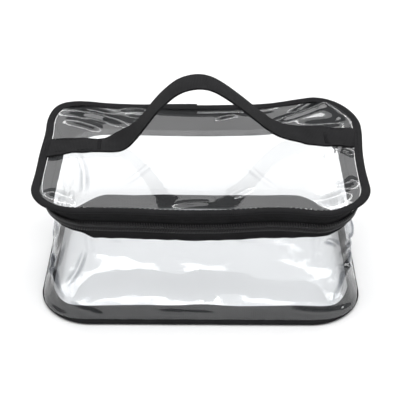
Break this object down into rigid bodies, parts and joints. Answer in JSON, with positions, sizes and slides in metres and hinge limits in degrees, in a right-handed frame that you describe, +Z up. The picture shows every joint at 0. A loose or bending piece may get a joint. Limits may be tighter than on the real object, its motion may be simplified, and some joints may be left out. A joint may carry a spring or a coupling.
{
  "type": "makeup bag",
  "caption": "Clear vinyl makeup bag with a zipped lid that opens on a fabric hinge, black bound seams and a webbing handle on top.",
  "frame": {"origin": "middle of the base, on the surface that the bag stands on", "axes": "+X along the bag's length to the right, +Y to the back where the lid is hinged, +Z up"},
  "size_m": [0.22, 0.143, 0.1393],
  "materials": {
    "clear_vinyl": "clear, glossy",
    "binding_tape": "black woven binding",
    "zip_tape": "black woven tape",
    "zip_coil": "black nylon coil",
    "webbing": "black woven webbing",
    "thread": "black thread",
    "slider_metal": "black enamel"
  },
  "bodies": {
    "tub": {"bottom_panel": "clear_vinyl", "wall_panel": "clear_vinyl", "base_binding": "binding_tape", "lower_zip_tape": "zip_tape", "lower_zip_coil": "zip_coil", "hinge_band": "binding_tape", "zip_bottom_stop": "slider_metal", "zip_top_stop_lower": "slider_metal"},
    "lid": {"lid_panel": "clear_vinyl", "lid_binding": "binding_tape", "upper_zip_tape": "zip_tape", "upper_zip_coil": "zip_coil", "zip_top_stop_upper": "slider_metal", "handle_left_end": "webbing", "handle_right_end": "webbing", "handle_bartack_left": "thread", "handle_bartack_right": "thread"},
    "handle": {"handle_loop": "webbing"},
    "slider": {"slider_body": "slider_metal"},
    "pull": {"pull_link": "slider_metal", "pull_tab": "slider_metal"}
  },
  "joints": [
    {"name": "lid_hinge", "type": "hinge", "parent": "tub", "child": "lid", "pos_m": [0, 0.07, 0.0866], "axis": [-1, 0, 0], "range_deg": [0, 180]},
    {"name": "handle_swing", "type": "hinge", "parent": "lid", "child": "handle", "pos_m": [0, 0.0145, 0.097], "axis": [0.9981, 0.0624, 0], "range_deg": [-60, 60], "stiffness_Nm_per_rad": 0.02},
    {"name": "slider_travel", "type": "slide", "parent": "tub", "child": "slider", "axis": [0, -1, 0], "range_m": [0, 0.06]},
    {"name": "pull_swing", "type": "hinge", "parent": "slider", "child": "pull", "pos_m": [0.1072, 0.031, 0.07477], "axis": [0, -1, 0], "range_deg": [-15, 140]}
  ]
}
